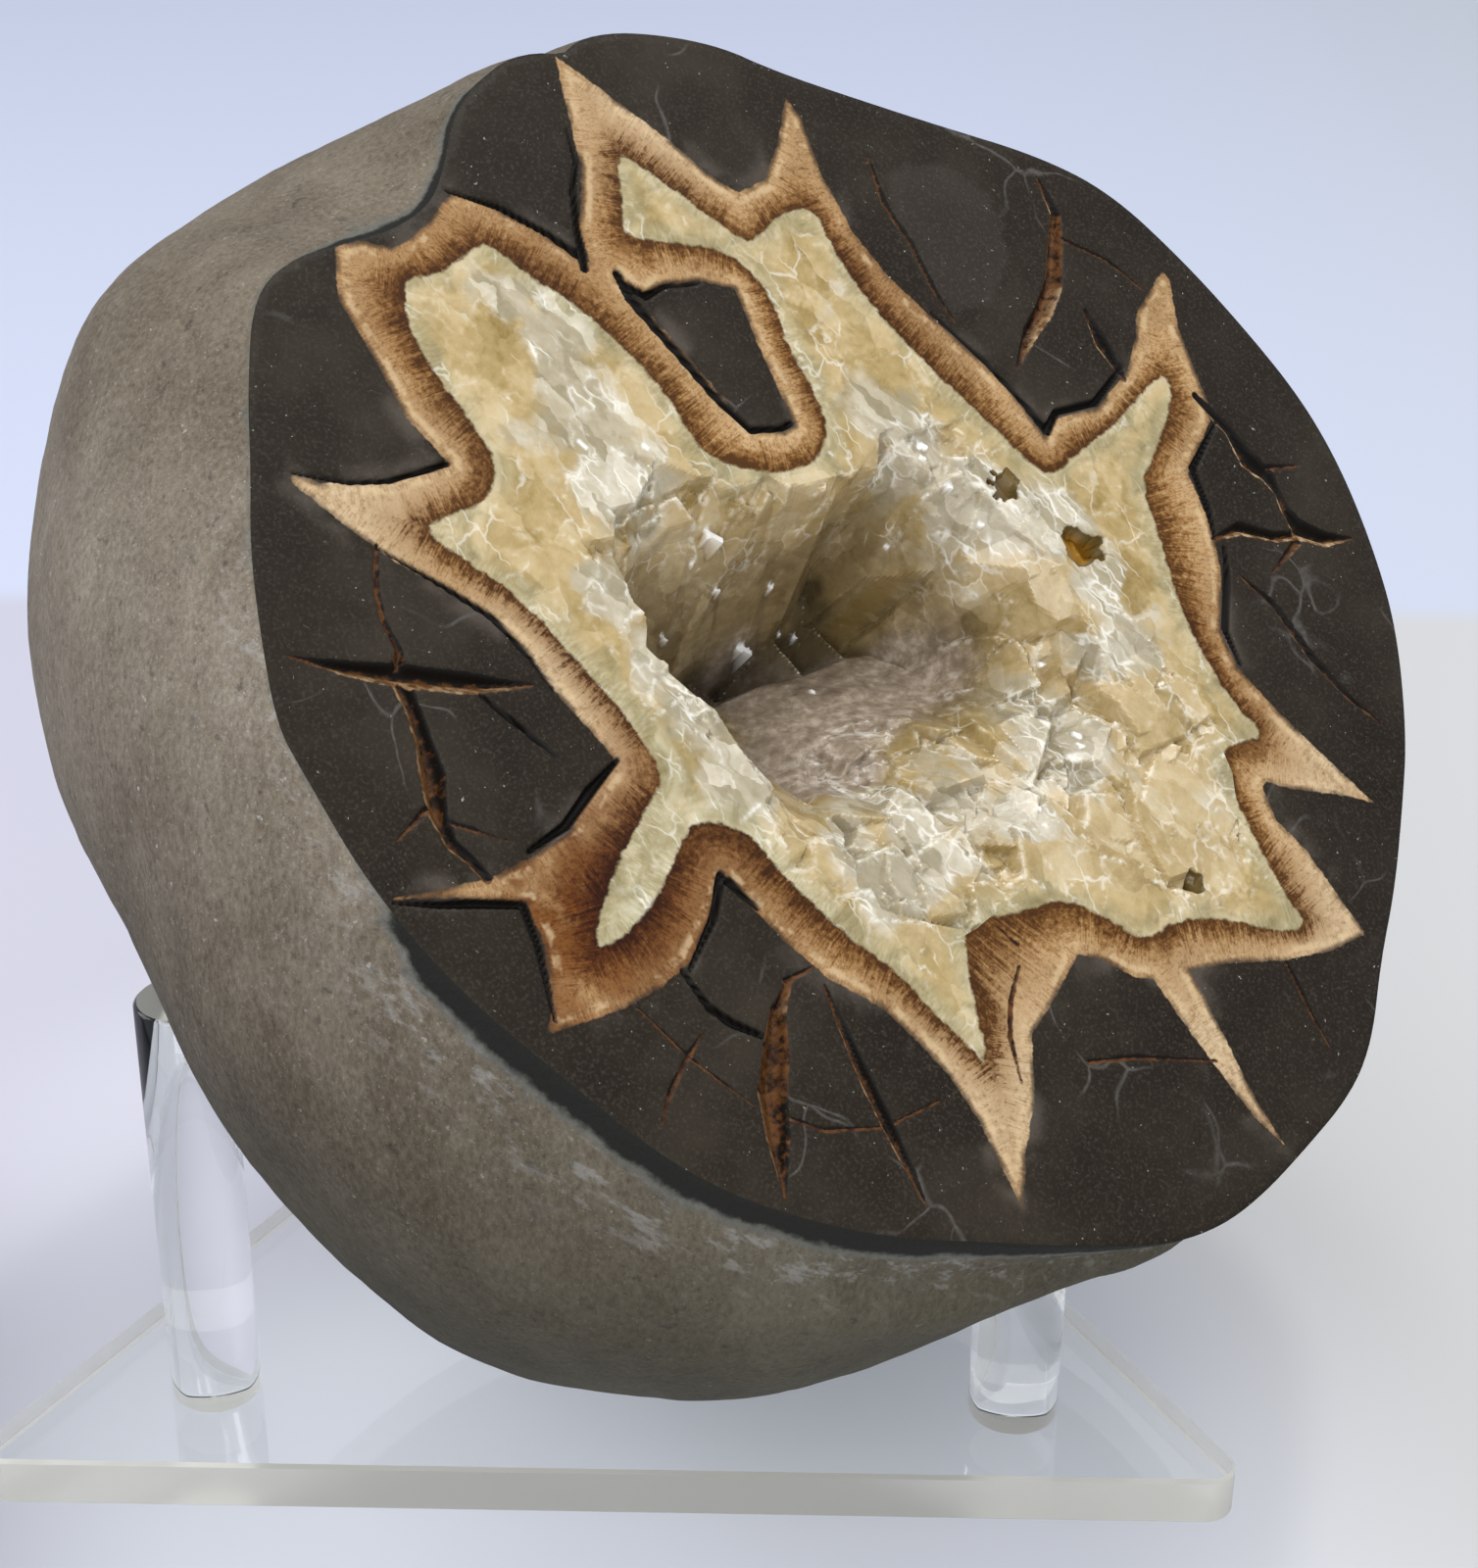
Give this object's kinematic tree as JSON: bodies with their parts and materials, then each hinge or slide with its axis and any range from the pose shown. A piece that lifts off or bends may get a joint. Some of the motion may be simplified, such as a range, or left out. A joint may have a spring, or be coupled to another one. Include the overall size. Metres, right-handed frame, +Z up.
{
  "type": "septarian nodule on a stand",
  "caption": "Half septarian nodule with a polished face and a crystal-lined hollow, resting tilted on a clear base with upright rods.",
  "frame": {"origin": "centre of the base plate's underside, on the surface it stands on", "axes": "+Z up, +Y from the plate's front edge to its back corner, +X to the right along the front edge"},
  "size_m": [0.1933, 0.1998, 0.1923],
  "materials": {
    "mudstone": "matte rind, polished face",
    "calcite": "translucent, broken crystal faces",
    "clear_sheet": "polished clear acrylic",
    "clear_rod": "polished clear acrylic"
  },
  "bodies": {
    "root": {"nodule": "mudstone", "crystal_crust": "calcite", "stand_plate": "clear_sheet", "post_left": "clear_rod", "post_right": "clear_rod", "post_back": "clear_rod"}
  },
  "joints": []
}
